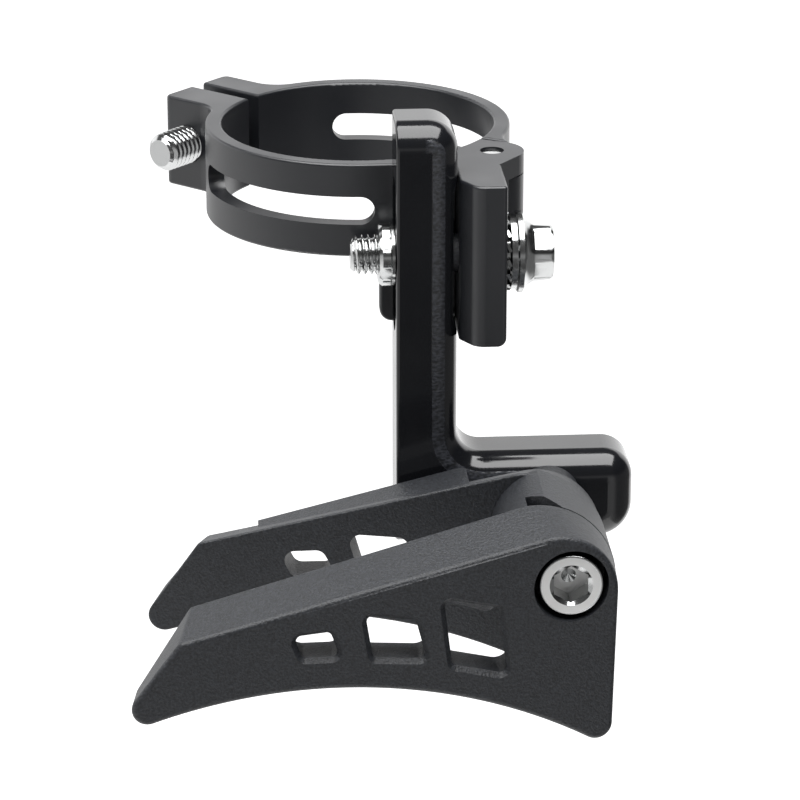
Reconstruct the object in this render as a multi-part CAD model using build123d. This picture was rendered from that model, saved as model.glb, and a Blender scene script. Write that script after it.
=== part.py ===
from build123d import *
import os
from math import acos, asin, atan2, cos, degrees, hypot, pi, radians, sin, sqrt, tan

# Seat tube clamp: a hinged band, its split turned so that the lugs sit at the left rear
tube_diameter = 34.9
band_wall = 2.1
band_height = 12.0
split_angle = 138.0
lug_gap = 2.0
lug_length = 7.65
front_lug_thickness = 5.6
rear_lug_thickness = 4.8
lug_blend = 4.0
lug_corner = 1.0
window_height = 3.6
window_arc = 84.0
front_window_angle = 231.0
rear_window_angle = 55.0
band_edge = 0.35

# Hinge opposite the lugs
pin_diameter = 3.0
pin_standoff = 2.05
pin_wall = 0.25
pin_recess = 0.3
knuckle_radius = 4.0
middle_knuckle_height = 6.5
hinge_blend = 6.0
hinge_slit = 0.45
knuckle_axial_clearance = 0.15
knuckle_pocket_clearance = 0.35
pin_running_clearance = 0.05

# Boss on the front half: a wall behind the arm and a tab at the arm's right
boss_height = 20.6
boss_left = 1.6
boss_blend = 4.2
boss_left_corner = 1.6
boss_right_corner = 1.2
tab_thickness = 5.65
tab_length = 10.45
tab_lead_in = 1.9
tab_lead_depth = 3.2
tab_lead_blend = 1.5
tab_root_standoff = 0.75

# Guide arm: an upright bar with a slot, and a leg at its foot
arm_left = 3.15
arm_width = 7.75
arm_depth = 8.2
arm_top = 13.1
leg_top = -30.4
leg_height = 11.6
leg_end = 33.2
arm_top_corner = 3.6
arm_inside_corner = 3.3
leg_top_corner = 3.6
leg_bottom_corner = 4.6
arm_front_round = 3.4
arm_edge_round = 0.4
slot_width = 5.3
slot_end_clearance = 0.25
arm_travel = 7.0
slide_clearance = 0.1

# Screws, M5
screw_diameter = 5.0
screw_clearance = 0.05
screw_end_chamfer = 0.5
cap_head_diameter = 8.5
cap_head_height = 5.0
cap_head_edge = 0.5
cap_socket_flats = 4.0
cap_socket_depth = 2.6
clamp_bolt_standoff = 3.85
clamp_bolt_length = 18.0
clamp_head_gap = 0.3
clamp_head_clearance = 0.8
rear_lug_hole = 6.4

# Arm bolt and its washers and nut
mount_nut_flats = 7.1
mount_nut_height = 2.0
mount_bolt_tail = 3.4
lock_washer_diameter = 9.9
lock_washer_thickness = 0.8
lock_washer_teeth = 16
lock_tooth_depth = 1.1
plain_washer_diameter = 9.4
plain_washer_thickness = 0.7
flange_diameter = 10.2
flange_height = 1.3
flange_serrations = 36
flange_clearance = 0.3
serration_depth = 0.3
hex_head_flats = 8.0
hex_head_height = 3.4
hex_head_draft = 7.0
washer_bore_clearance = 0.15

# Cage: two plates that open to the left, drawn flat with the cage bolt at the drawing's origin
cage_bolt_x = 22.1
cage_bolt_drop = 5.1
cage_gap = 10.3
cage_flare = 7.5
plate_thickness = 7.75
inner_plate_thickness = 5.2
arm_pass_clearance = 1.2
far_face_offset = 10.95
pad_left = -36.4
pad_right = -10.4
pad_top_left = -1.75
pad_top_right = 4.85
pad_waist = -3.8
pad_foot = -16.0
pad_end_round = 1.2
plate_end_top = (-47.3, -3.5)
plate_end_tip = (-57.0, -15.6)
plate_bottom_mid = (-25.7, -10.95)
plate_bottom_right = (5.2, -21.8)
plate_right = 6.0
plate_top_slope = 12.3
plate_top_round = 7.3
crown_start = -5.15
crown_end = -3.0
plate_foot_round = 2.0
plate_tip_round = 2.0
plate_end_corner = 1.0
inner_rise = 1.5
inner_drop = 1.4
inner_setback = 1.6
inner_extra_slope = 1.2
inner_extra_right = 0.7
inner_plate_short = 5.0
inner_plate_setback = -2.1
inner_plate_sag = 1.0
plate_edge = 0.6
inner_plate_edge = 0.3
near_windows = [
    [(-34.5, -3.3), (-28.8, -2.95), (-27.2, -7.45), (-33.0, -7.2)],
    [(-25.7, -1.0), (-18.4, -2.45), (-16.8, -8.65), (-24.6, -7.85)],
    [(-16.2, 0.2), (-8.2, -1.75), (-7.1, -11.6), (-15.0, -9.55)],
]
far_windows = [
    [(-34.4, -3.9), (-28.95, -3.55), (-27.0, -7.05), (-32.65, -7.3)],
    [(-25.9, -1.3), (-18.5, -1.65), (-16.8, -8.3), (-24.0, -7.7)],
    [(-16.2, -0.9), (-8.2, -2.3), (-7.1, -11.6), (-15.0, -9.55)],
]
pad_window_margin = 1.0
window_corner = 1.3
window_rim = 0.6
window_draft = 6.0
hub_radius = 8.0
spacer_radius = 4.2
join_depth = 0.5
notch_left = -4.45
notch_right = -0.4
notch_length = 4.6
notch_floor = 4.4
seat_clearance = 0.05
head_pocket_clearance = 0.3
head_sink = 0.4
cage_washer_diameter = 8.0
cage_washer_thickness = 0.8
cage_nut_flats = 8.0
cage_nut_height = 3.6
cage_nut_clearance = 0.15
cage_nut_sink = 0.3

# Derived places
big = 4.0 * tube_diameter
bore_radius = tube_diameter / 2
band_radius = bore_radius + band_wall
half_band = band_height / 2
lug_reach = band_radius + lug_length
pin_offset = band_radius + pin_standoff
clamp_bolt_offset = band_radius + clamp_bolt_standoff
tab_reach = band_radius + tab_length
tab_root = band_radius + tab_root_standoff
half_gap = lug_gap / 2
rear_lug_face = half_gap + rear_lug_thickness
screw_radius = screw_diameter / 2
screw_hole = screw_radius + screw_clearance
split = Rot(0, 0, split_angle)
hinge_angle = split_angle - 180.0
pin_x = pin_offset * cos(radians(hinge_angle))
pin_y = pin_offset * sin(radians(hinge_angle))
boss_back = pin_diameter / 2 + pin_wall - pin_y
slit_turn = degrees(asin(knuckle_radius / pin_offset))
pocket_radius = knuckle_radius + knuckle_pocket_clearance
arm_seat = -band_radius
arm_right = arm_left + arm_width
arm_back = arm_seat - slide_clearance
arm_front = arm_back - arm_depth
arm_middle = arm_back - arm_depth / 2
tab_left = arm_right + slide_clearance
tab_right = tab_left + tab_thickness
boss_bottom = half_band - boss_height
mount_z = (half_band + boss_bottom) / 2
leg_bottom = leg_top - leg_height
cage_bolt_z = leg_top - cage_bolt_drop
flare = radians(cage_flare)
far_face = arm_front - far_face_offset
pad_back = arm_front - arm_pass_clearance
near_face = far_face - cage_gap
near_back = near_face - plate_thickness / cos(flare)
head_seat = near_back + head_sink + cap_head_height
cage_bolt_seat = head_seat - seat_clearance
cage_bolt_end = arm_back - cage_nut_sink
cage_bolt_length = cage_bolt_end - cage_bolt_seat
nut_front = cage_bolt_end - cage_nut_height
washer_front = nut_front - cage_washer_thickness
cage_line_plan = Pos(cage_bolt_x, cage_bolt_z)


def drum(radius, low, high):
    """Upright cylinder between two heights."""
    return Pos(0, 0, (low + high) / 2) * Cylinder(radius, high - low)


def along_y(shape, y):
    """Turn a shape built up from Z = 0 so that it runs from the given Y towards +Y."""
    return Pos(0, y, 0) * Rot(-90, 0, 0) * shape


def along_x(shape, x):
    """Turn a shape built up from Z = 0 so that it runs from the given X towards +X."""
    return Pos(x, 0, 0) * Rot(0, 90, 0) * shape


def rise(shape_2d, low, high):
    """Prism of an XY outline between two heights."""
    return Pos(0, 0, low) * extrude(shape_2d, high - low)


def side_prism(shape_2d, front, back):
    """Prism of an outline drawn in X and Z, between two Y values."""
    return extrude(Plane((0, back, 0), (1, 0, 0), (0, -1, 0)) * shape_2d, back - front)


def corner(shape_2d, point, radius):
    """Round the corner of an outline that lies nearest to a point."""
    return fillet(shape_2d.vertices().sort_by_distance(Vertex(point[0], point[1], 0))[0], radius)


def sheet(points):
    return make_face(Polyline(*points, close=True))


def hexagon(flats):
    return RegularPolygon(flats / sqrt(3), 6)


# Clamp halves, drawn with the split along X: lugs at +X, front half at +Y, hinge at -X
slit_line = tan(radians(slit_turn)) * big
front_side = sheet([(0, half_gap), (big, half_gap), (big, big), (-big, big), (-big, -slit_line), (0, 0)])
slit_far = -slit_line - hinge_slit / cos(radians(slit_turn))
below = [(0, -half_gap), (big, -half_gap), (big, -big), (-big, -big)]
rear_side = sheet([*below, (-big, slit_far), (0, slit_far + slit_line)])
rear_half_plane = sheet([*below, (-big, 0), (0, 0)])
hinge_side = sheet([(0, big), (-big, big), (-big, -big), (0, -big)])
bore = Circle(bore_radius)
knuckle = Pos(-pin_offset, 0) * Circle(knuckle_radius)


def lug(inner_y, outer_y):
    """Rectangle from the bore to the lug's end."""
    length = lug_reach - bore_radius
    thickness = abs(outer_y - inner_y)
    return Pos(bore_radius + length / 2, (inner_y + outer_y) / 2) * Rectangle(length, thickness)


def lugged(plan, inner_y, outer_y):
    """Join a lug to half a band, blend it in and round its corners."""
    plan = plan + lug(inner_y, outer_y) - bore
    plan = corner(plan, (sqrt(band_radius**2 - outer_y**2), outer_y), lug_blend)
    plan = corner(plan, (lug_reach, outer_y), lug_corner)
    return corner(plan, (lug_reach, inner_y), lug_corner / 2)


front_band = lugged(Circle(band_radius) & front_side, half_gap, half_gap + front_lug_thickness)

ring_with_knuckle = Circle(band_radius) + knuckle
meet_x = -(pin_offset**2 + band_radius**2 - knuckle_radius**2) / (2 * pin_offset)
meet_y = -sqrt(band_radius**2 - meet_x**2)
rear_plan = corner(ring_with_knuckle, (meet_x, meet_y), hinge_blend) & (rear_half_plane + knuckle)
rear_plan = lugged(rear_plan, -half_gap, -rear_lug_face)


def window(angle):
    """Slot through the band: a sector with a round hole at each end."""
    turn = window_arc / 2 - degrees(window_height / 2 / band_radius)
    ends = [(big * cos(radians(t)), big * sin(radians(t))) for t in (-turn, 0, turn)]
    cut = rise(sheet([(0, 0), *ends]), -window_height / 2, window_height / 2)
    for end in (-turn, turn):
        cut += Rot(0, 0, end) * along_x(drum(window_height / 2, 0, big), 0)
    return Rot(0, 0, angle) * cut


def off_knuckle(edge):
    """Whether an edge is long enough to round and neither of its ends lies on the knuckle."""
    ends = [hypot(point.X - pin_x, point.Y - pin_y) for point in (edge.start_point(), edge.end_point())]
    return edge.length > band_edge and min(ends) > knuckle_radius + knuckle_axial_clearance


def rim_edges(half, height):
    """Edges to round about the largest flat face of a clamp half at a height."""
    flat = half.faces().filter_by(Axis.Z).filter_by_position(Axis.Z, height, height)
    return flat.sort_by(SortBy.AREA)[-1].outer_wire().edges().filter_by(off_knuckle)


# Front half: band, boss and the two outer knuckles
tab = sheet([
    (0, -boss_back),
    (0, arm_seat),
    (tab_left, arm_seat),
    (tab_left, -tab_reach + tab_lead_depth),
    (tab_left + tab_lead_in, -tab_reach),
    (tab_right, -tab_reach),
    (tab_right, -boss_back),
])
tab = corner(tab, (tab_left, -tab_reach + tab_lead_depth), tab_lead_blend)
tab = corner(tab, (tab_left + tab_lead_in, -tab_reach), tab_lead_in)
tab = corner(tab, (tab_right, -tab_reach), lug_corner / 2)
blend_end = boss_left - boss_blend
blend_strip = sheet([(blend_end, -boss_back), (blend_end, -big), (0, -big), (0, -boss_back)])
wall_plan = tab + (Circle(band_radius) & blend_strip) - bore

root_angle = atan2(-tab_root - pin_y, tab_right - pin_x)
root_distance = hypot(tab_right - pin_x, -tab_root - pin_y)
touch_angle = root_angle + acos(knuckle_radius / root_distance)
flank = sheet([
    (pin_x, pin_y),
    (pin_x + knuckle_radius * cos(touch_angle), pin_y + knuckle_radius * sin(touch_angle)),
    (tab_right, -tab_root),
    (tab_left, -tab_root),
    (tab_left, pin_y),
])
flank += Pos(pin_x, pin_y) * Circle(knuckle_radius)

boss_side = sheet([
    (tab_right, half_band),
    (tab_right, boss_bottom),
    (boss_left, boss_bottom),
    (boss_left, -half_band),
    (blend_end, -half_band),
    (blend_end, half_band),
])
boss_side = corner(boss_side, (boss_left, -half_band), boss_blend)
boss_side = corner(boss_side, (boss_left, boss_bottom), boss_left_corner)
boss_side = corner(boss_side, (tab_right, boss_bottom), boss_right_corner)
boss = rise(wall_plan, boss_bottom, half_band) & side_prism(boss_side, -big, big)
upper = rise(split * front_band + flank - bore, -half_band, half_band)
clamp_front = upper + boss

half_middle = middle_knuckle_height / 2
pocket_height = half_middle + knuckle_axial_clearance
pocket_plan = Pos(pin_x, pin_y) * Circle(pocket_radius)
pocket_plan += Pos(pin_x + big / 2, pin_y + big / 2 - pocket_radius) * Rectangle(big, big)
pocket_plan += split * (offset(rear_plan, knuckle_pocket_clearance) & hinge_side)
clamp_front -= rise(pocket_plan, -pocket_height, pocket_height)
clamp_front -= Pos(pin_x, pin_y, 0) * drum(pin_diameter / 2, -half_band, half_band)
clamp_front -= window(front_window_angle)
clamp_front -= split * Pos(clamp_bolt_offset, 0, 0) * along_y(drum(screw_hole, 0, big), 0)
mount_line = Pos(0, arm_middle, mount_z)
clamp_front -= mount_line * along_x(drum(screw_hole, 0, big), 0)
clamp_front -= mount_line * along_x(drum(flange_diameter / 2 + flange_clearance, 0, big), tab_right)

for rim in (half_band, -half_band):
    clamp_front = fillet(rim_edges(clamp_front, rim), band_edge)

# Rear half: band, lug and the middle knuckle
clamp_rear = rise(rear_plan, -half_middle, half_middle)
rear_outer = rear_plan & rear_side
clamp_rear += rise(rear_outer, -half_band, half_band)
clamp_rear -= Pos(-pin_offset, 0, 0) * drum(pin_diameter / 2 + pin_running_clearance, -half_band, half_band)
clamp_rear -= Pos(clamp_bolt_offset, 0, 0) * along_y(drum(rear_lug_hole / 2, 0, big), -big)
head_room = drum(cap_head_diameter / 2 + clamp_head_clearance, 0, big)
clamp_rear -= Pos(clamp_bolt_offset, 0, 0) * along_y(head_room, -rear_lug_face - big)
clamp_rear = split * clamp_rear - window(rear_window_angle)
for rim in (half_band, -half_band):
    clamp_rear = fillet(rim_edges(clamp_rear, rim), band_edge)

hinge_pin = Pos(pin_x, pin_y, 0) * drum(pin_diameter / 2, -half_band + pin_recess, half_band - pin_recess)
hinge_pin = chamfer(hinge_pin.edges().filter_by(GeomType.CIRCLE), pin_recess)


def cap_screw(length):
    """Socket cap screw, its head below Z = 0 and its shank up from there."""
    screw = drum(cap_head_diameter / 2, -cap_head_height, 0)
    screw = fillet(screw.edges().sort_by(Axis.Z)[0], cap_head_edge)
    shank = drum(screw_radius, 0, length)
    screw += chamfer(shank.edges().sort_by(Axis.Z)[-1], screw_end_chamfer)
    return screw - rise(hexagon(cap_socket_flats), -cap_head_height, cap_socket_depth - cap_head_height)


clamp_head_y = -rear_lug_face - clamp_head_gap
clamp_bolt = split * Pos(clamp_bolt_offset, 0, 0) * along_y(cap_screw(clamp_bolt_length), clamp_head_y)

# Guide arm: an L cut from bar, rounded along its front except at the left
arm_plan = sheet([
    (arm_left, arm_top),
    (arm_right, arm_top),
    (arm_right, leg_top),
    (leg_end, leg_top),
    (leg_end, leg_bottom),
    (arm_left, leg_bottom),
])
arm_plan = corner(arm_plan, (arm_right, arm_top), arm_top_corner)
arm_plan = corner(arm_plan, (arm_right, leg_top), arm_inside_corner)
arm_plan = corner(arm_plan, (leg_end, leg_top), leg_top_corner)
arm_plan = corner(arm_plan, (leg_end, leg_bottom), leg_bottom_corner)
arm = side_prism(arm_plan, arm_front, arm_back)
front_edges = arm.faces().sort_by(Axis.Y)[0].edges()
arm = fillet(front_edges.sort_by(Axis.X)[1:], arm_front_round)
arm = fillet(arm.faces().sort_by(Axis.X)[0].edges(), arm_edge_round)
arm_slot = SlotOverall(slot_width + 2 * (arm_travel + slot_end_clearance), slot_width)
arm -= extrude(Plane((0, arm_middle, mount_z), (0, 0, 1), (1, 0, 0)) * arm_slot, big)
nut_recess = rise(hexagon(cage_nut_flats + 2 * cage_nut_clearance), 0, big)
cage_line = Pos(cage_bolt_x, 0, cage_bolt_z)
through_hole = cage_line * along_y(drum(screw_hole, -big, big), 0)
arm -= through_hole + cage_line * along_y(nut_recess, washer_front)

# Arm bolt: nut at the left, tab and washers at the right
nut_left = arm_left - slide_clearance - mount_nut_height


def chamfered_hexagon(flats, height):
    """Hexagon prism from Z = 0, the corners of its top turned off at 30 degrees."""
    cone = Pos(0, 0, height / 2) * Cone(flats / 2 + height / tan(pi / 6), flats / 2, height)
    return extrude(hexagon(flats), height) & cone


mount_nut = chamfered_hexagon(mount_nut_flats, mount_nut_height) - drum(screw_hole, 0, mount_nut_height)
mount_nut = Pos(0, 0, mount_nut_height) * Rot(180, 0, 30) * mount_nut
mount_nut = mount_line * along_x(mount_nut, nut_left)

tooth_ring = Circle(lock_washer_diameter / 2)
tooth_gap = pi * lock_washer_diameter / lock_washer_teeth / 2
for gap in range(lock_washer_teeth):
    notch = Pos(lock_washer_diameter / 2, 0) * Rectangle(2 * lock_tooth_depth, tooth_gap)
    tooth_ring -= Rot(0, 0, gap * 360 / lock_washer_teeth) * notch
washer_hole = screw_radius + washer_bore_clearance
lock_washer = extrude(tooth_ring - Circle(washer_hole), lock_washer_thickness)
lock_washer = mount_line * along_x(lock_washer, tab_right)
plain_washer = extrude(Circle(plain_washer_diameter / 2) - Circle(washer_hole), plain_washer_thickness)
plain_left = tab_right + lock_washer_thickness
plain_washer = mount_line * along_x(plain_washer, plain_left)

flange_left = plain_left + plain_washer_thickness
mount_tail_x = nut_left - mount_bolt_tail
mount_length = flange_left - mount_tail_x
flange = Circle(flange_diameter / 2)
for tooth in range(flange_serrations):
    groove = Pos(flange_diameter / 2, 0) * Rot(0, 0, 45) * Rectangle(serration_depth, serration_depth)
    flange -= Rot(0, 0, tooth * 360 / flange_serrations) * groove
mount_bolt = extrude(flange, flange_height)
hex_head = extrude(hexagon(hex_head_flats), hex_head_height, taper=hex_head_draft)
mount_bolt += Pos(0, 0, flange_height) * hex_head
shank = drum(screw_radius, -mount_length, 0)
mount_bolt += chamfer(shank.edges().sort_by(Axis.Z)[0], screw_end_chamfer)
mount_bolt = mount_line * along_x(mount_bolt, flange_left)


# Cage plates, each drawn flat on its inner face, then tilted about the upright line through the cage bolt
def crown(end_top, top_right, foot, share):
    """Start, middle and end of the round at the top right, always tangent to the right side.

    At the outer face it is tangent to the top as well; at the inner one it starts earlier, at a corner.
    """
    top_way = (top_right - end_top).normalized()
    side_way = (foot - top_right).normalized()
    reach = plate_top_round / tan(acos(-top_way.dot(side_way)) / 2)
    start_reach = reach + ((top_right.X - crown_start) / top_way.X - reach) * share
    end_reach = reach + ((crown_end - top_right.Y) / side_way.Y - reach) * share
    start = top_right - top_way * start_reach
    end = top_right + side_way * end_reach
    inward = Vector(side_way.Y, -side_way.X)
    chord = start - end
    radius = chord.dot(chord) / (2 * chord.dot(inward))
    centre = end + inward * radius
    middle = centre + (start + end - centre * 2).normalized() * radius
    return start, middle, end


def plate_outline(depth, short, setback, sag):
    """Outline in the plate's own plane, at a depth below the inner face, which is the largest."""
    share = 1 - depth / plate_thickness
    left = plate_end_top[0] + short + setback * share
    top = plate_end_top[1] + inner_rise * share
    drop = inner_drop * share
    right = plate_right + inner_extra_right * share
    end_top = Vector(left, top - sag)
    slope = tan(radians(plate_top_slope + inner_extra_slope * share))
    top_right = Vector(right, top + (right - left) * slope)
    foot = Vector(plate_bottom_right[0] + inner_extra_right * share, plate_bottom_right[1] - drop)
    tip = Vector(plate_end_tip[0] + short + setback * share, plate_end_tip[1] - drop)
    belly = Vector(plate_bottom_mid[0], plate_bottom_mid[1] - drop)
    start, middle, end = crown(end_top, top_right, foot, share)
    outline = make_face([
        Line(end_top, start),
        ThreePointArc(start, middle, end),
        Line(end, foot),
        ThreePointArc(foot, belly, tip),
        Line(tip, end_top),
    ])
    outline = corner(outline, (foot.X, foot.Y), plate_foot_round)
    outline = corner(outline, (tip.X, tip.Y), plate_tip_round)
    return corner(outline, (end_top.X, end_top.Y), plate_end_corner)


def pushed(shape_2d, depth, side):
    """Move an outline outwards along the cage bolt, so that it stays put when seen along the bolt."""
    return Pos(-depth * tan(flare), 0, side * depth) * shape_2d


def drafted_plate(thickness, side, short, setback, sag):
    """Plate from its inner face at Z = 0 to its outer face on the given side."""
    outer_face = pushed(plate_outline(thickness, short, setback, sag), thickness, side)
    return loft([plate_outline(0, short, setback, sag), outer_face], ruled=True)


def edged(body, side):
    """Round the edges of a plate's outer face, then those of its inner face."""
    for radius, towards in ((plate_edge, side), (inner_plate_edge, -side)):
        face = body.faces().sort_by(Axis.Z)[-1 if towards > 0 else 0]
        body = fillet(face.outer_wire().edges(), radius)
    return body


def window_plan(corners):
    plan = sheet(corners)
    for point in corners:
        plan = corner(plan, point, window_corner)
    return plan


def near_windowed(body):
    """Cut the windows along the cage bolt, wider at the inner face and with a rim at the outer one."""
    spread = tan(radians(window_draft))
    throat = plate_thickness - window_rim
    for corners in near_windows:
        rim = window_plan(corners)
        wide = pushed(offset(rim, throat * spread), -window_rim, 1)
        narrow = pushed(offset(rim, -window_rim), throat, 1)
        flared = pushed(offset(rim, window_rim), plate_thickness + window_rim, 1)
        body -= loft([wide, narrow], ruled=True) + loft([narrow, flared], ruled=True)
    return body


def tilted(y, lean):
    """Plane of a plate's inner face, facing the outside of the bicycle."""
    return Plane((cage_bolt_x, y, cage_bolt_z), (cos(lean), sin(lean), 0), (sin(lean), -cos(lean), 0))


near_plane = tilted(near_face, flare)
far_plane = tilted(far_face, -flare)
space = Pos(0, 0, big / 2) * Box(big, big, big)

outer_plate = near_windowed(drafted_plate(plate_thickness, 1, 0, inner_setback, 0))
outer_plate = near_plane * edged(outer_plate, 1)
outer_plate -= through_hole
outer_plate -= cage_line * along_y(drum(cap_head_diameter / 2 + head_pocket_clearance, -big, 0), head_seat)

far_ends = (inner_plate_short, inner_plate_setback, inner_plate_sag)
pad_sides = [(pad_right, pad_waist), (pad_left, pad_waist)]
pad_outline = sheet([*pad_sides, (pad_left, pad_foot), (pad_right, pad_foot)])
pad_outline &= plate_outline(inner_plate_thickness, *far_ends)
pad_outline += sheet([*pad_sides, (pad_left, pad_top_left), (pad_right, pad_top_right)])
pad = side_prism(cage_line_plan * pad_outline, far_face, pad_back)
pad -= far_plane * Pos(0, 0, -inner_plate_thickness / 2) * space
pad_end = pad.edges().filter_by(Axis.Z).group_by(Axis.X)[-1].sort_by(Axis.Y)[-1]
pad = fillet(pad_end, pad_end_round)
inner_plate = drafted_plate(inner_plate_thickness, -1, *far_ends)
for corners in far_windows:
    plan = window_plan(corners)
    inner_plate -= rise(plan, -big, big)
    pad -= far_plane * rise(offset(plan, pad_window_margin), -big, big)
inner_plate = far_plane * edged(inner_plate, -1) + pad
hub_plan = cage_line_plan * (Circle(hub_radius) & plate_outline(0, 0, inner_setback, 0))
hub = side_prism(hub_plan, near_face - hub_radius, far_face + hub_radius) - near_plane * space
hub -= far_plane * Pos(0, 0, -join_depth) * Rot(180, 0, 0) * space
notch = sheet([
    (notch_left, near_face - notch_length),
    (notch_left, near_face + notch_length),
    (notch_right, near_face),
    (notch_right, near_face - notch_length),
])
hub -= cage_line * rise(notch, notch_floor, big)
spacer_front = far_face + inner_plate_thickness / 2
spacer = side_prism(cage_line_plan * Circle(spacer_radius), spacer_front, arm_front - slide_clearance)
inner_plate = inner_plate + hub + spacer - through_hole

cage_bolt = cage_line * along_y(cap_screw(cage_bolt_length), cage_bolt_seat)
cage_washer = extrude(Circle(cage_washer_diameter / 2) - Circle(washer_hole), cage_washer_thickness)
cage_washer = cage_line * along_y(cage_washer, washer_front)
cage_nut = chamfered_hexagon(cage_nut_flats, cage_nut_height) - drum(screw_hole, 0, cage_nut_height)
cage_nut = cage_line * along_y(cage_nut, nut_front)

os.makedirs("parts", exist_ok=True)
for name, solid in {
    "clamp_front_half": clamp_front,
    "clamp_rear_half": clamp_rear,
    "hinge_pin": hinge_pin,
    "clamp_bolt": clamp_bolt,
    "guide_arm": arm,
    "mount_bolt": mount_bolt,
    "mount_lock_washer": lock_washer,
    "mount_plain_washer": plain_washer,
    "mount_nut": mount_nut,
    "cage_outer_plate": outer_plate,
    "cage_inner_plate": inner_plate,
    "cage_bolt": cage_bolt,
    "cage_washer": cage_washer,
    "cage_nut": cage_nut,
}.items():
    export_step(solid, "parts/" + name + ".step")
    print(name, round(solid.volume), [round(v, 2) for v in solid.bounding_box().size])
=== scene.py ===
# %% [markdown]
# # A clamp-on chain guide
#
# The solid parts of the guide were drawn in CAD and packed as one fixed frame. This script dresses that
# frame: it gives every surface the look of its real material, cuts real threads on the screws, twists the
# teeth of the lock washer, and sets up a white studio with the camera where the photographer stood.

import bpy
import numpy as np
from mathutils import Matrix, Vector


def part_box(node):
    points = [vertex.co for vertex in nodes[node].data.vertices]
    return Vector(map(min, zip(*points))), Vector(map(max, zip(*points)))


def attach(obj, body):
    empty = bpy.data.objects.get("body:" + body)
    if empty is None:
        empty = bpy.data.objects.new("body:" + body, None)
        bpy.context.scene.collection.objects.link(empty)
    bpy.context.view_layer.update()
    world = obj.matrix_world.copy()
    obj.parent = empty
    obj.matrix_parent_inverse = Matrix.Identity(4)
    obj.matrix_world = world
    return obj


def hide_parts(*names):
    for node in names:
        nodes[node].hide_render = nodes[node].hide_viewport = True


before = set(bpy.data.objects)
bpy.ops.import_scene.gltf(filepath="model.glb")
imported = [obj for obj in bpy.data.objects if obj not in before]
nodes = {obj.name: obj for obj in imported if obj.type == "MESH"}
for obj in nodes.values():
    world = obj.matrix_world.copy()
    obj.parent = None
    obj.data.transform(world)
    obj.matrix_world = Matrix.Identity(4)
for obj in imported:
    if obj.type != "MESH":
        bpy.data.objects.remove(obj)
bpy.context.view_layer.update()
scene = bpy.context.scene
scene.view_settings.view_transform = "Standard"
MM = 0.001
print("CAD nodes:", ", ".join(sorted(nodes)))

# %% [markdown]
# ## Colours and nodes
#
# Colours are written as the sRGB hex values a painter would pick from a screen, but light is added up in
# linear values, so one function turns the first into the second. A second small function adds a shader
# node, sets its options, and joins or fills its inputs. Every material below is made with just these two.

# %% Helpers
def linear(hex_code):
    """sRGB to linear light: c / 12.92 below 0.04045, else ((c + 0.055) / 1.055) ** 2.4."""
    c = np.array([int(hex_code[i:i + 2], 16) for i in (1, 3, 5)]) / 255
    c = np.where(c <= 0.04045, c / 12.92, ((c + 0.055) / 1.055) ** 2.4)
    return (*c.tolist(), 1.0)


def add(tree, kind, inputs=(), **settings):
    """Add a shader node, set its options, then link or fill each named input."""
    node = tree.nodes.new("ShaderNode" + kind)
    for name, value in settings.items():
        setattr(node, name, value)
    for name, value in dict(inputs).items():
        if isinstance(value, bpy.types.NodeSocket):
            tree.links.new(value, node.inputs[name])
        else:
            node.inputs[name].default_value = value
    return node


def blank(name):
    """A new material with an empty node tree."""
    material = bpy.data.materials.new(name)
    material.use_nodes = True
    material.node_tree.nodes.clear()
    return material, material.node_tree


print("black #1c1c1e in linear light:", [round(v, 4) for v in linear("#1c1c1e")[:3]])

# %% [markdown]
# ## Satin black anodised aluminium
#
# The clamp is turned from aluminium, blasted with fine beads and anodised black. Blasting leaves a mat of
# tiny dents, so the surface shines softly and never mirrors anything. The dents are about 0.1 mm across;
# they are drawn at 0.22 mm here, since finer ones would vanish between the pixels. The oxide is a clear
# hard layer over a dark dye, so it is a dielectric with a rather high index, not a bare metal.

# %% Clamp finish
satin, tree = blank("satin_black_anodised_aluminium")
place = add(tree, "TexCoord").outputs["Object"]
dents = add(tree, "TexNoise", {"Vector": place, "Scale": 1 / (0.22 * MM), "Detail": 2.0})
clouds = add(tree, "TexNoise", {"Vector": place, "Scale": 1 / (9 * MM), "Detail": 2.0})
gloss = add(tree, "MapRange", {"Value": clouds.outputs["Fac"], "From Min": 0.3, "From Max": 0.7,
                               "To Min": 0.34, "To Max": 0.42})
relief = add(tree, "Bump", {"Height": dents.outputs["Fac"], "Strength": 0.12, "Distance": 0.03 * MM})
shader = add(tree, "BsdfPrincipled", {"Base Color": linear("#14161b"), "Roughness": gloss.outputs[0],
                                      "IOR": 1.67, "Normal": relief.outputs[0]})
add(tree, "OutputMaterial", {"Surface": shader.outputs[0]})
print("made", satin.name)

# %% [markdown]
# ## Gloss black anodised aluminium
#
# The arm is milled from bar and bright-dipped before it is anodised, so it is nearly a black mirror. The
# cutter that rounded its right front edge left scallops, steps a fraction of a millimetre apart. They lie
# in the first half millimetre behind the front face, to the right of the arm's flat front and only on the
# upright, so the Y and X coordinates tell where they are.

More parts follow.
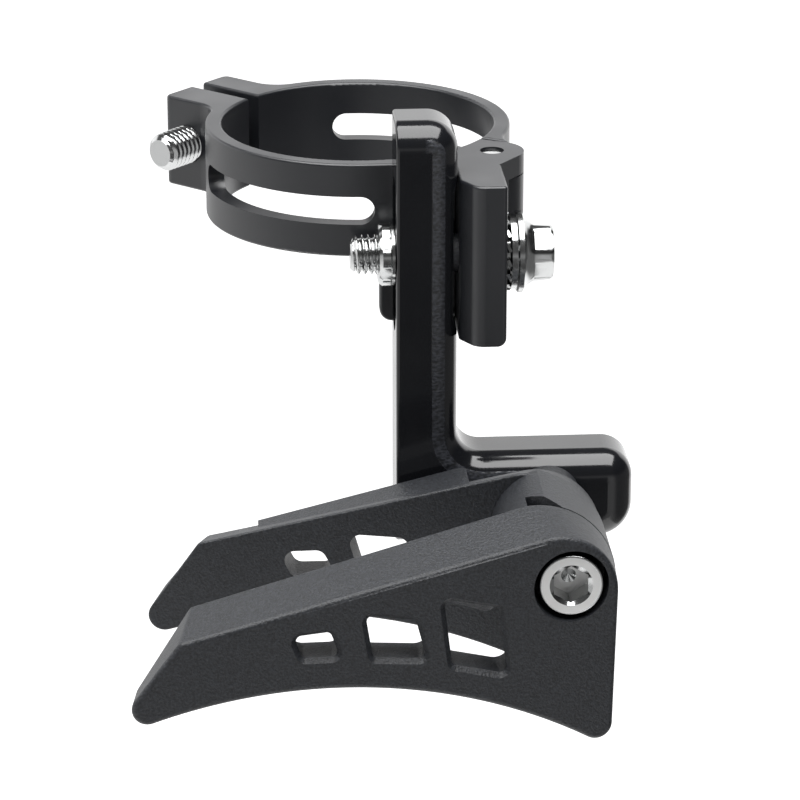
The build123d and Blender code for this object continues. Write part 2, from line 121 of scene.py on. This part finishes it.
# %% Where the scallops lie
glossy, tree = blank("gloss_black_anodised_aluminium")
place = add(tree, "TexCoord").outputs["Object"]
coordinates = add(tree, "SeparateXYZ", {"Vector": place})
across, depth = coordinates.outputs["X"], coordinates.outputs["Y"]
arm_left, arm_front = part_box("guide_arm")[0][:2]
bolt_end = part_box("mount_bolt")[1][0]
right_half = add(tree, "MapRange", {"Value": across, "From Min": arm_left + 3.5 * MM,
                                    "From Max": arm_left + 4.2 * MM})
upright = add(tree, "MapRange", {"Value": across, "From Min": bolt_end - 5 * MM,
                                 "From Max": bolt_end - 2 * MM, "To Min": 1.0, "To Max": 0.0})
opens = add(tree, "MapRange", {"Value": depth, "From Min": arm_front + 0.002 * MM,
                               "From Max": arm_front + 0.01 * MM})
closes = add(tree, "MapRange", {"Value": depth, "From Min": arm_front + 0.42 * MM,
                                "From Max": arm_front + 0.5 * MM, "To Min": 1.0, "To Max": 0.0})
milled = opens.outputs[0]
for limit in (closes, upright, right_half):
    milled = add(tree, "Math", {0: milled, 1: limit.outputs[0]}, operation="MULTIPLY").outputs[0]
print("scallops start", round(arm_front / MM, 2), "mm along Y")

# %% [markdown]
# The scallops are longer across the edge than along it, so their noise is stretched to double length in X
# and Y. They stand in relief and shine more dully than the rest. Their tops are painted paler, a painted
# sheen standing in for the light that the rough strip catches.

# %% Arm finish
clouds = add(tree, "TexNoise", {"Vector": place, "Scale": 1 / (6 * MM), "Detail": 3.0})
gloss = add(tree, "MapRange", {"Value": clouds.outputs["Fac"], "From Min": 0.3, "From Max": 0.7,
                               "To Min": 0.12, "To Max": 0.16})
stretched = add(tree, "VectorMath", {0: place, 1: (0.5, 0.5, 1.0)}, operation="MULTIPLY")
scallops = add(tree, "TexNoise", {"Vector": stretched.outputs[0], "Scale": 1 / (0.3 * MM), "Detail": 2.0})
relief = add(tree, "Bump", {"Height": scallops.outputs["Fac"], "Distance": 0.1 * MM, "Strength": milled})
dull = add(tree, "Math", {0: milled, 1: 0.2, 2: gloss.outputs[0]}, operation="MULTIPLY_ADD")
# Painted sheen: on the scallops the arm's colour is raised up to five times, standing in for caught light.
scallop_sheen = add(tree, "MapRange", {"Value": scallops.outputs["Fac"], "From Min": 0.35, "From Max": 0.65,
                              "To Max": 4.0})
painted_sheen = add(tree, "Math", {0: milled, 1: scallop_sheen.outputs[0], 2: 1.0}, operation="MULTIPLY_ADD")
tint = add(tree, "HueSaturation", {"Color": linear("#16171a"), "Value": painted_sheen.outputs[0]})
shader = add(tree, "BsdfPrincipled", {"Base Color": tint.outputs[0], "Roughness": dull.outputs[0],
                                      "IOR": 1.6, "Normal": relief.outputs[0]})
add(tree, "OutputMaterial", {"Surface": shader.outputs[0]})
print("made", glossy.name)

# %% [markdown]
# ## Matte glass-filled nylon
#
# The cage plates are moulded. The mould was etched to a fine grain so that scuffs from the chain show less,
# and the glass in the nylon dulls it further. Grains are about 0.3 mm across, a few pixels in the picture,
# and the tops of the grains are a little paler than the dips between them.

# %% Cage finish
nylon, tree = blank("matte_glass_filled_nylon")
place = add(tree, "TexCoord").outputs["Object"]
grain = add(tree, "TexNoise", {"Vector": place, "Scale": 1 / (0.3 * MM), "Detail": 2.0, "Roughness": 0.6})
relief = add(tree, "Bump", {"Height": grain.outputs["Fac"], "Strength": 1.0, "Distance": 0.12 * MM})
fleck = add(tree, "MapRange", {"Value": grain.outputs["Fac"], "From Min": 0.35, "From Max": 0.65,
                               "To Min": 0.5, "To Max": 1.7})
tint = add(tree, "HueSaturation", {"Color": linear("#202226"), "Value": fleck.outputs[0]})
shader = add(tree, "BsdfPrincipled", {"Base Color": tint.outputs[0], "Roughness": 0.52, "IOR": 1.53,
                                      "Normal": relief.outputs[0]})
add(tree, "OutputMaterial", {"Surface": shader.outputs[0]})
print("made", nylon.name)

# %% [markdown]
# ## Bright plated steel
#
# Screws, nuts and washers are zinc-plated steel with a bright finish. The plating keeps the faint marks of
# the tools under it, so its roughness drifts a little from place to place. The faces of the socket heads
# were turned with a coarse feed and shine more dully than the rest; they and the socket floors are also
# painted much paler than the rest of the steel, a painted highlight.

# %% Screw finish
def plated(name, colour, smoothest, roughest):
    """Plated steel whose roughness drifts between two values over about a millimetre."""
    material, tree = blank(name)
    place = add(tree, "TexCoord").outputs["Object"]
    clouds = add(tree, "TexNoise", {"Vector": place, "Scale": 1 / (1.2 * MM), "Detail": 3.0})
    gloss = add(tree, "MapRange", {"Value": clouds.outputs["Fac"], "From Min": 0.3, "From Max": 0.7,
                                   "To Min": smoothest, "To Max": roughest})
    shader = add(tree, "BsdfPrincipled", {"Base Color": linear(colour), "Metallic": 1.0,
                                          "Roughness": gloss.outputs[0]})
    add(tree, "OutputMaterial", {"Surface": shader.outputs[0]})
    print("made", name)
    return material


steel = plated("bright_zinc_plated_steel", "#bebfbf", 0.12, 0.22)
# Painted highlight: the turned faces get a paler colour than the rest of the same steel.
turned_steel_painted_pale = plated("turned_zinc_plated_steel_painted_highlight", "#efefee", 0.42, 0.5)

# %% [markdown]
# ## Finishes on the CAD pieces
#
# The CAD solids already have the right shape, so they only swap their plain materials for these.

# %% Assign
finishes = {
    satin: ("clamp_front_half", "clamp_rear_half"),
    glossy: ("guide_arm",),
    nylon: ("cage_outer_plate", "cage_inner_plate"),
    steel: ("hinge_pin", "mount_plain_washer", "cage_washer", "cage_nut"),
}
for finish, names in finishes.items():
    for name in names:
        nodes[name].data.materials.clear()
        nodes[name].data.materials.append(finish)
    print(finish.name, "on", ", ".join(names))

# %% [markdown]
# ## Screws as turned surfaces
#
# Every screw here is a surface of revolution whose radius also depends on the angle: constant on a shank,
# a triangle wave on a serrated rim, the distance to a hexagon's side on a head or in a socket, and a wave
# that climbs with the angle on a thread. So one grid, angles across and stations along the axis, makes a
# whole screw in one piece. A helix swept along a cylinder is the other way, but its ends have to be joined.
# All the threads are the same size, 5 mm with a pitch of 0.8 mm. Lengths from here on are in millimetres.

# %% Radius laws
TURNS = 96
ANGLE = np.arange(TURNS) / TURNS * 2 * np.pi
PITCH, STEPS_PER_PITCH = 0.8, 14
THREAD_RADIUS, TIP_RADIUS = 2.5, 1.75
THREAD_DEPTH, CREST, FLANK = 0.61, 0.12, 0.74


def round_radius(radius):
    """The same radius at every angle."""
    return np.full(TURNS, float(radius))


def hexagon_radius(flats):
    """Distance from the axis to a hexagon's side: (flats / 2) / cos(angle from the side's middle)."""
    return flats / 2 / np.cos((ANGLE + np.pi / 6) % (np.pi / 3) - np.pi / 6)


def thread(length):
    """Stations x and their radii: crest to root as a clipped triangle wave of (x / pitch - turns).

    The tip is bevelled, so the radius stays under a 45 degree cone there. The depth is a share of the
    pitch, and the crest's flat and the flank are shares of half a wave.
    """
    x = np.arange(0, length, PITCH / STEPS_PER_PITCH)
    phase = np.abs(((x[:, None] / PITCH - ANGLE / (2 * np.pi)) % 1) - 0.5) * 2
    wave = np.clip((phase - CREST) / FLANK, 0, 1)
    cone = TIP_RADIUS + np.clip(x, 0, THREAD_RADIUS - TIP_RADIUS)
    return x, np.minimum(THREAD_RADIUS - THREAD_DEPTH * PITCH * wave, cone[:, None])


print("root of the thread:", round(THREAD_RADIUS - THREAD_DEPTH * PITCH, 3), "mm")

# %% [markdown]
# ## From stations to a mesh
#
# A station is a place along the axis with its radius at every angle. The rows of points are joined by
# quads, and a fan of triangles closes each end. Edges sharper than the crease angle stay crisp.

# %% The turned grid
CREASE = np.radians(28)


def turned(name, stations, origin, direction, upwards, body, replaced, marked=None, hollow=False):
    """Mesh with vertex = origin + x * direction + r * (cos(angle) * side + sin(angle) * upwards).

    The rows of faces that start at the stations `marked[0]` get the finish `marked[1]`. A hollow piece
    joins its last row to its first, and any other is closed at both ends.
    """
    radii = [np.atleast_2d(r) for _, r in stations]
    x = np.concatenate([np.broadcast_to(s, len(r)) for (s, _), r in zip(stations, radii)])
    r = np.concatenate(radii)
    along, up = (np.array(Vector(way).normalized()) for way in (direction, upwards))
    side = np.cross(up, along)
    ring = np.cos(ANGLE)[:, None] * side + np.sin(ANGLE)[:, None] * up
    vertices = (np.array(origin) + x[:, None, None] * along + r[:, :, None] * ring).reshape(-1, 3)
    rows = len(x)
    index = np.arange(rows * TURNS).reshape(rows, TURNS)
    after = np.roll(index, -1, axis=1)
    quads = np.stack([index, np.roll(index, -1, 0), np.roll(after, -1, 0), after], axis=-1)
    faces = quads.reshape(-1, 4).tolist()
    if not hollow:
        centres = np.array(origin) + x[[0, -1], None] * along
        first = np.stack([np.full(TURNS, rows * TURNS), index[0], after[0]], axis=-1)
        last = np.stack([np.full(TURNS, rows * TURNS + 1), after[-1], index[-1]], axis=-1)
        vertices = np.concatenate([vertices, centres])
        faces = faces[:-TURNS] + first.tolist() + last.tolist()
    mesh = bpy.data.meshes.new(name)
    mesh.from_pydata((vertices * MM).tolist(), [], faces)
    mesh.materials.append(steel)
    if marked:
        mesh.materials.append(marked[1])
        ends = np.cumsum([len(r) for r in radii])
        finish = np.zeros(len(mesh.polygons), dtype=np.int32)
        for row in ends[list(marked[0])] - 1:
            finish[row * TURNS:(row + 1) * TURNS] = 1
        mesh.polygons.foreach_set("material_index", finish)
    mesh.shade_smooth()
    mesh.set_sharp_from_angle(angle=CREASE)
    piece = bpy.data.objects.new(name, mesh)
    scene.collection.objects.link(piece)
    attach(piece, body)
    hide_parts(replaced)
    print(name, len(mesh.polygons), "faces")


print("each turned row has", TURNS, "points")

# %% [markdown]
# ## The arm bolt
#
# It has a tapered hexagon head with a serrated flange, and its threaded tail stands out of the nut on the
# left of the arm. Only the stretch that shows gets a thread. The plain shank behind it is given the black
# nylon finish, painted shade for the dark groove between the arm and the tab where it shows. The hexagon
# rises from the flange through a short cone.

# %% Arm bolt
low, high = (np.array(c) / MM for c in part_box("mount_bolt"))
axis_y, axis_z = (low[1:] + high[1:]) / 2
tail, shank_radius = 6.2, 2.4
flange_height, flange_radius = 1.3, (high[1] - low[1]) / 2
head_height, flats, corners = 3.4, 7.1, 3.8
narrowing = np.tan(np.radians(4)) * head_height
SERRATIONS, serration_depth = 48, 0.05
serrated = flange_radius - serration_depth * np.abs(2 * ((ANGLE / (2 * np.pi) * SERRATIONS) % 1) - 1)
x_top = high[0] - low[0]
x_head = x_top - head_height
x_flange = x_head - flange_height
stations = [
    thread(tail),
    (tail, round_radius(shank_radius)),
    (x_flange, round_radius(shank_radius)),
    (x_flange, serrated - 0.25),
    (x_flange + 0.2, serrated),
    (x_head - 0.5, serrated),
    (x_head - 0.4, round_radius(flange_radius - 0.3)),
    (x_head + 0.25, round_radius(corners + 0.35)),
    (x_head + 0.9, np.minimum(hexagon_radius(flats), corners)),
    (x_top - 0.5, np.minimum(hexagon_radius(flats - 0.1 - narrowing), corners - 0.1)),
    (x_top - 0.12, np.minimum(hexagon_radius(flats - 0.3 - narrowing), corners - 0.4)),
    (x_top, round_radius(corners - 0.9)),
]
# The plain shank's rows get the black nylon finish as painted shade.
PAINTED_SHADE_ROW = 1
rolled = np.radians(37)
turned_up = (0, np.sin(rolled), np.cos(rolled))
turned("arm_bolt", stations, (low[0], axis_y, axis_z), (1, 0, 0), turned_up, "clamp_front", "mount_bolt",
       ((PAINTED_SHADE_ROW,), nylon))

# %% [markdown]
# ## The thin nut
#
# Its corners were tumbled round, both faces are bevelled, and the side that meets the arm is a round collar.

# %% Thin nut
low, high = (np.array(c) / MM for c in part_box("mount_nut"))
width = high[0] - low[0]
hole, flats, corners, collar = 2.55, 7.55, 4.0, 0.35
rounded = np.minimum(hexagon_radius(flats), corners)
stations = [
    (0, round_radius(hole)),
    (0, round_radius(corners - 0.7)),
    (0.12, np.minimum(rounded, corners - 0.35)),
    (0.5, rounded),
    (width - collar - 0.2, rounded),
    (width - collar, np.minimum(rounded, corners - 0.25)),
    (width - collar, round_radius(corners)),
    (width, round_radius(corners)),
    (width, round_radius(hole)),
]
turned("thin_nut", stations, (low[0], axis_y, axis_z), (1, 0, 0), turned_up, "clamp_front", "mount_nut",
       hollow=True)

# %% [markdown]
# ## Two cap screws
#
# The pinch bolt and the cage bolt are the same kind: a round head with a hexagon socket. The grid runs from
# the screw's tip along the thread, round the head and down into the socket, so the socket is truly hollow.

# %% Cap screws
HEAD_HEIGHT, HEAD_RADIUS, RIM = 5.0, 3.85, 0.25
SOCKET_FLATS, SOCKET_DEPTH, COUNTERSINK_RADIUS = 4.1, 3.2, 2.6
FACE_ROW, SOCKET_FLOOR_ROW = 5, 8


def cap_screw(name, tip, direction, length, threaded, body, replaced):
    """Stations from the tip: bevelled thread, plain shank, head with rounded rim, socket wall and floor."""
    top = length + HEAD_HEIGHT
    floor = top - SOCKET_DEPTH
    rim = np.linspace(0, np.pi / 2, 7)
    rim_radii = HEAD_RADIUS - RIM + RIM * np.cos(rim)
    stations = [
        thread(threaded),
        (threaded, round_radius(THREAD_RADIUS)),
        (length, round_radius(THREAD_RADIUS)),
        (length, round_radius(HEAD_RADIUS - 0.2)),
        (length + 0.2, round_radius(HEAD_RADIUS)),
        (top - RIM + RIM * np.sin(rim), np.tile(rim_radii[:, None], TURNS)),
        (top, round_radius(COUNTERSINK_RADIUS)),
        (top - 0.35, hexagon_radius(SOCKET_FLATS)),
        (floor, hexagon_radius(SOCKET_FLATS)),
        (floor, round_radius(0.9)),
        (floor - 0.7, round_radius(0.02)),
    ]
    turned(name, stations, tip, direction, (0, 0, 1), body, replaced,
           ((FACE_ROW, SOCKET_FLOOR_ROW), turned_steel_painted_pale))


low, high = (np.array(c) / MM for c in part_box("cage_bolt"))
tip = ((low[0] + high[0]) / 2, high[1], (low[2] + high[2]) / 2)
length, threaded = high[1] - low[1] - HEAD_HEIGHT, 6.0
cap_screw("cage_screw", tip, (0, -1, 0), length, threaded, "arm", "cage_bolt")

# %% [markdown]
# The pinch bolt crosses the gap between the lugs at a right angle. The gap lies 138 degrees round the bore
# from the X axis, so the bolt is placed from that angle: out along the gap, then across it to the tip.

# %% Pinch bolt
gap = np.radians(138)
outwards = np.array([np.cos(gap), np.sin(gap), 0])
across = np.array([-np.sin(gap), np.cos(gap), 0])
from_bore, from_gap = 23.4, 11.9
length, threaded = 18.0, 7.5
tip = from_bore * outwards + from_gap * across
cap_screw("pinch_screw", tip, -across, length, threaded, "pinch_bolt", "clamp_bolt")

# %% [markdown]
# ## The toothed lock washer
#
# Its teeth are bent out of the washer's plane like propeller blades, so that they bite when the bolt is
# tightened. One tooth is a small bar twisted along its length; all of them are the same bar turned round the
# axis, worked out in one array. The foot of each bar is sunk into the washer's ring.

# %% Teeth
low, high = (np.array(c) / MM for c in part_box("mount_lock_washer"))
middle = (low + high) / 2
TEETH, STEPS, CORNERS = 16, 6, 4
hole, root, tip = 2.65, 3.85, (high[1] - low[1]) / 2 - 0.1
half_width, half_thick, foot = 0.48, 0.2, root - 0.25
u = np.linspace(0, 1, STEPS)
twist = np.radians(24) * np.clip(u * 1.6, 0, 1)[:, None]
wide = np.array([-1, -1, 1, 1]) * half_width
thick = np.array([-1, 1, 1, -1]) * half_thick
tangent = wide * np.cos(twist) - thick * np.sin(twist)
axial = wide * np.sin(twist) + thick * np.cos(twist)
radial = np.broadcast_to((foot + (tip - foot) * u)[:, None], tangent.shape)
turn = np.arange(TEETH)[:, None, None] / TEETH * 2 * np.pi
y = radial * np.cos(turn) - tangent * np.sin(turn)
z = radial * np.sin(turn) + tangent * np.cos(turn)
teeth = np.stack([np.broadcast_to(axial, y.shape), y, z], axis=-1).reshape(-1, 3)
grid = np.arange(STEPS * CORNERS).reshape(STEPS, CORNERS)
after = np.roll(grid, -1, axis=1)
sides = np.stack([grid[:-1], after[:-1], after[1:], grid[1:]], axis=-1).reshape(-1, 4)
bar = np.concatenate([sides, [grid[0, ::-1], grid[-1]]])
tooth_faces = (bar + (np.arange(TEETH) * grid.size)[:, None, None]).reshape(-1, 4)
print("toothed washer:", TEETH, "teeth")

# %% [markdown]
# The ring is a small rectangle carried round the axis. It and the teeth go into one mesh.

# %% Ring and mesh
AROUND = 64
angle = (np.arange(AROUND) / AROUND * 2 * np.pi)[:, None]
face, edge = np.array([[-half_thick, hole], [-half_thick, root], [half_thick, root], [half_thick, hole]]).T
hoop = np.stack([np.broadcast_to(face, (AROUND, CORNERS)), edge * np.cos(angle), edge * np.sin(angle)],
                axis=-1).reshape(-1, 3)
grid = np.arange(len(hoop)).reshape(AROUND, CORNERS) + len(teeth)
after = np.roll(grid, -1, axis=0)
hoop_faces = np.stack([grid, after, np.roll(after, -1, axis=1), np.roll(grid, -1, axis=1)], axis=-1)
vertices = (np.concatenate([teeth, hoop]) + middle) * MM
mesh = bpy.data.meshes.new("toothed_washer")
mesh.from_pydata(vertices.tolist(), [], tooth_faces.tolist() + hoop_faces.reshape(-1, 4).tolist())
mesh.materials.append(steel)
washer = bpy.data.objects.new("toothed_washer", mesh)
scene.collection.objects.link(washer)
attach(washer, "clamp_front")
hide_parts("mount_lock_washer")
print("toothed washer:", len(mesh.polygons), "faces")

# %% [markdown]
# ## The studio
#
# The photograph is a cut-out on white: white sweep behind and below, a wide soft box overhead, and a dark
# room above and behind the camera. The table in front is pale, but the foot of the camera's stand hides a
# small part of it, which is what the mirror-like front of the arm shows. The camera itself always sees
# white, and so the background does not need any extra light.
#
# A world material knows only the direction of a ray, a vector of length 1, so each part of the studio is a
# range of its X, Y or Z with a soft border.

# %% In front of the guide
TABLE, ROOM, STAND_SHARE, SIDE_SHARE = 0.62, 0.08, 0.1, 0.3
STAND_X, STAND_Z = 0.08, -0.35
world = bpy.data.worlds.new("white_sweep")
scene.world = world
world.use_nodes = True
tree = world.node_tree
tree.nodes.clear()
look = add(tree, "SeparateXYZ", {"Vector": add(tree, "TexCoord").outputs["Generated"]})
table = add(tree, "MapRange", {"Value": look.outputs["Z"], "From Min": -0.05, "From Max": 0.25,
                               "To Min": TABLE, "To Max": ROOM}, interpolation_type="SMOOTHSTEP")
beside = add(tree, "Math", {0: look.outputs["X"], 1: STAND_X}, operation="SUBTRACT")
beside = add(tree, "Math", {0: beside.outputs[0]}, operation="ABSOLUTE")
beside = add(tree, "MapRange", {"Value": beside.outputs[0], "From Min": 0.08, "From Max": 0.14,
                                "To Min": STAND_SHARE, "To Max": 1.0}, interpolation_type="SMOOTHSTEP")
past = add(tree, "Math", {0: look.outputs["Z"], 1: STAND_Z}, operation="SUBTRACT")
past = add(tree, "Math", {0: past.outputs[0]}, operation="ABSOLUTE")
past = add(tree, "MapRange", {"Value": past.outputs[0], "From Min": 0.2, "From Max": 0.5},
           interpolation_type="SMOOTHSTEP")
stand = add(tree, "Math", {0: beside.outputs[0], 1: past.outputs[0]}, operation="MAXIMUM")
aside = add(tree, "MapRange", {"Value": look.outputs["X"], "From Min": 0.45, "From Max": 0.75,
                               "To Min": 1.0, "To Max": SIDE_SHARE}, interpolation_type="SMOOTHSTEP")
before = add(tree, "Math", {0: table.outputs[0], 1: stand.outputs[0]}, operation="MULTIPLY")
before = add(tree, "Math", {0: before.outputs[0], 1: aside.outputs[0]}, operation="MULTIPLY")
print("world: a pale table in front with a dark stand on it, dark above")

# %% [markdown]
# Behind the guide the sweep is white up to nearly thirty degrees and the room is dark above it. On the
# right the sweep starts further back, so the end of the arm's leg stays dark.

# %% Behind the guide
SWEEP, CEILING, RIGHT_SLANT = 1.6, 0.1, 0.7
behind = add(tree, "MapRange", {"Value": look.outputs["Z"], "From Min": 0.4, "From Max": 0.52,
                                "To Min": SWEEP, "To Max": CEILING}, interpolation_type="SMOOTHSTEP")
rightwards = add(tree, "Math", {0: look.outputs["X"], 1: 0.0}, operation="MAXIMUM")
back = add(tree, "Math", {0: rightwards.outputs[0], 1: -RIGHT_SLANT, 2: look.outputs["Y"]},
           operation="MULTIPLY_ADD")
around = add(tree, "MapRange", {"Value": back.outputs[0], "From Min": -0.15, "From Max": 0.15,
                                "To Min": before.outputs[0], "To Max": behind.outputs[0]},
             interpolation_type="SMOOTHSTEP")
rays = add(tree, "LightPath")
level = add(tree, "Math", {0: around.outputs[0], 1: rays.outputs["Is Camera Ray"]}, operation="MAXIMUM")
light = add(tree, "Background", {"Color": (1, 1, 1, 1), "Strength": level.outputs[0]})
add(tree, "OutputWorld", {"Surface": light.outputs[0]})
print("world: a white sweep behind, and white wherever the camera looks")

# %% [markdown]
# ## Floor and soft box
#
# The guide is held in the air by its clamp, so the floor is well below it and its shadow is only a breath.
# The paper glows for the camera and for mirrors, so that it stays as white as the sweep. It ends on the
# right of the guide, where a bright floor would show in the end of the leg.

# %% Floor
PAPER_GLOW = 0.75
pale, tree = blank("pale_paper")
rays = add(tree, "LightPath")
seen = add(tree, "Math", {0: rays.outputs["Is Glossy Ray"], 1: rays.outputs["Is Transmission Ray"]},
           operation="MAXIMUM")
glow = add(tree, "Math", {0: seen.outputs[0], 1: PAPER_GLOW}, operation="MULTIPLY")
glow = add(tree, "Math", {0: glow.outputs[0], 1: rays.outputs["Is Camera Ray"]}, operation="MAXIMUM")
shader = add(tree, "BsdfPrincipled", {"Base Color": linear("#e8e8e8"), "Roughness": 0.9,
                                      "Emission Color": (1, 1, 1, 1), "Emission Strength": glow.outputs[0]})
add(tree, "OutputMaterial", {"Surface": shader.outputs[0]})
left, right, front, rear, height = -6, 0.35, -0.6, 9, -0.5
corners = [(left, front, height), (right, front, height), (right, rear, height), (left, rear, height)]
mesh = bpy.data.meshes.new("floor")
mesh.from_pydata(corners, [], [(0, 1, 2, 3)])
mesh.materials.append(pale)
floor = bpy.data.objects.new("floor", mesh)
scene.collection.objects.link(floor)
print("floor", -height, "m below the band")

# %% [markdown]
# The soft box hangs a little in front of the guide's clamp and faces down. Its place and depth set where
# the long highlight lies on the rounded front edge of the leg.

# %% Soft box
WATTS = 12.0
hung, aimed = Vector((0, -0.13, 0.6)), Vector((0, -0.129, 0))
lamp = bpy.data.lights.new("overhead", "AREA")
lamp.shape = "RECTANGLE"
lamp.size, lamp.size_y = 0.9, 0.7
lamp.energy = WATTS
holder = bpy.data.objects.new("overhead", lamp)
holder.location = hung
holder.rotation_euler = (aimed - hung).to_track_quat("-Z", "Y").to_euler()
scene.collection.objects.link(holder)
print("soft box of", WATTS, "W")

# %% [markdown]
# ## The camera
#
# A long lens from about half a metre, a little left of the guide and looking down some twenty degrees.

# %% Camera
lens = bpy.data.cameras.new("camera")
lens.lens = 180
lens.sensor_width = 36
camera = bpy.data.objects.new("camera", lens)
stood = Vector((-28.10, -493.02, 151.32)) * MM
forward = Vector((0.0637, 0.9351, -0.3486)).normalized()
above = Vector((0.0237, 0.3478, 0.9373))
right = forward.cross(above).normalized()
above = right.cross(forward)
turn = Matrix((right, above, -forward)).transposed()
camera.matrix_world = Matrix.Translation(stood) @ turn.to_4x4()
scene.collection.objects.link(camera)
scene.camera = camera
print("camera at", [round(v, 3) for v in camera.location])
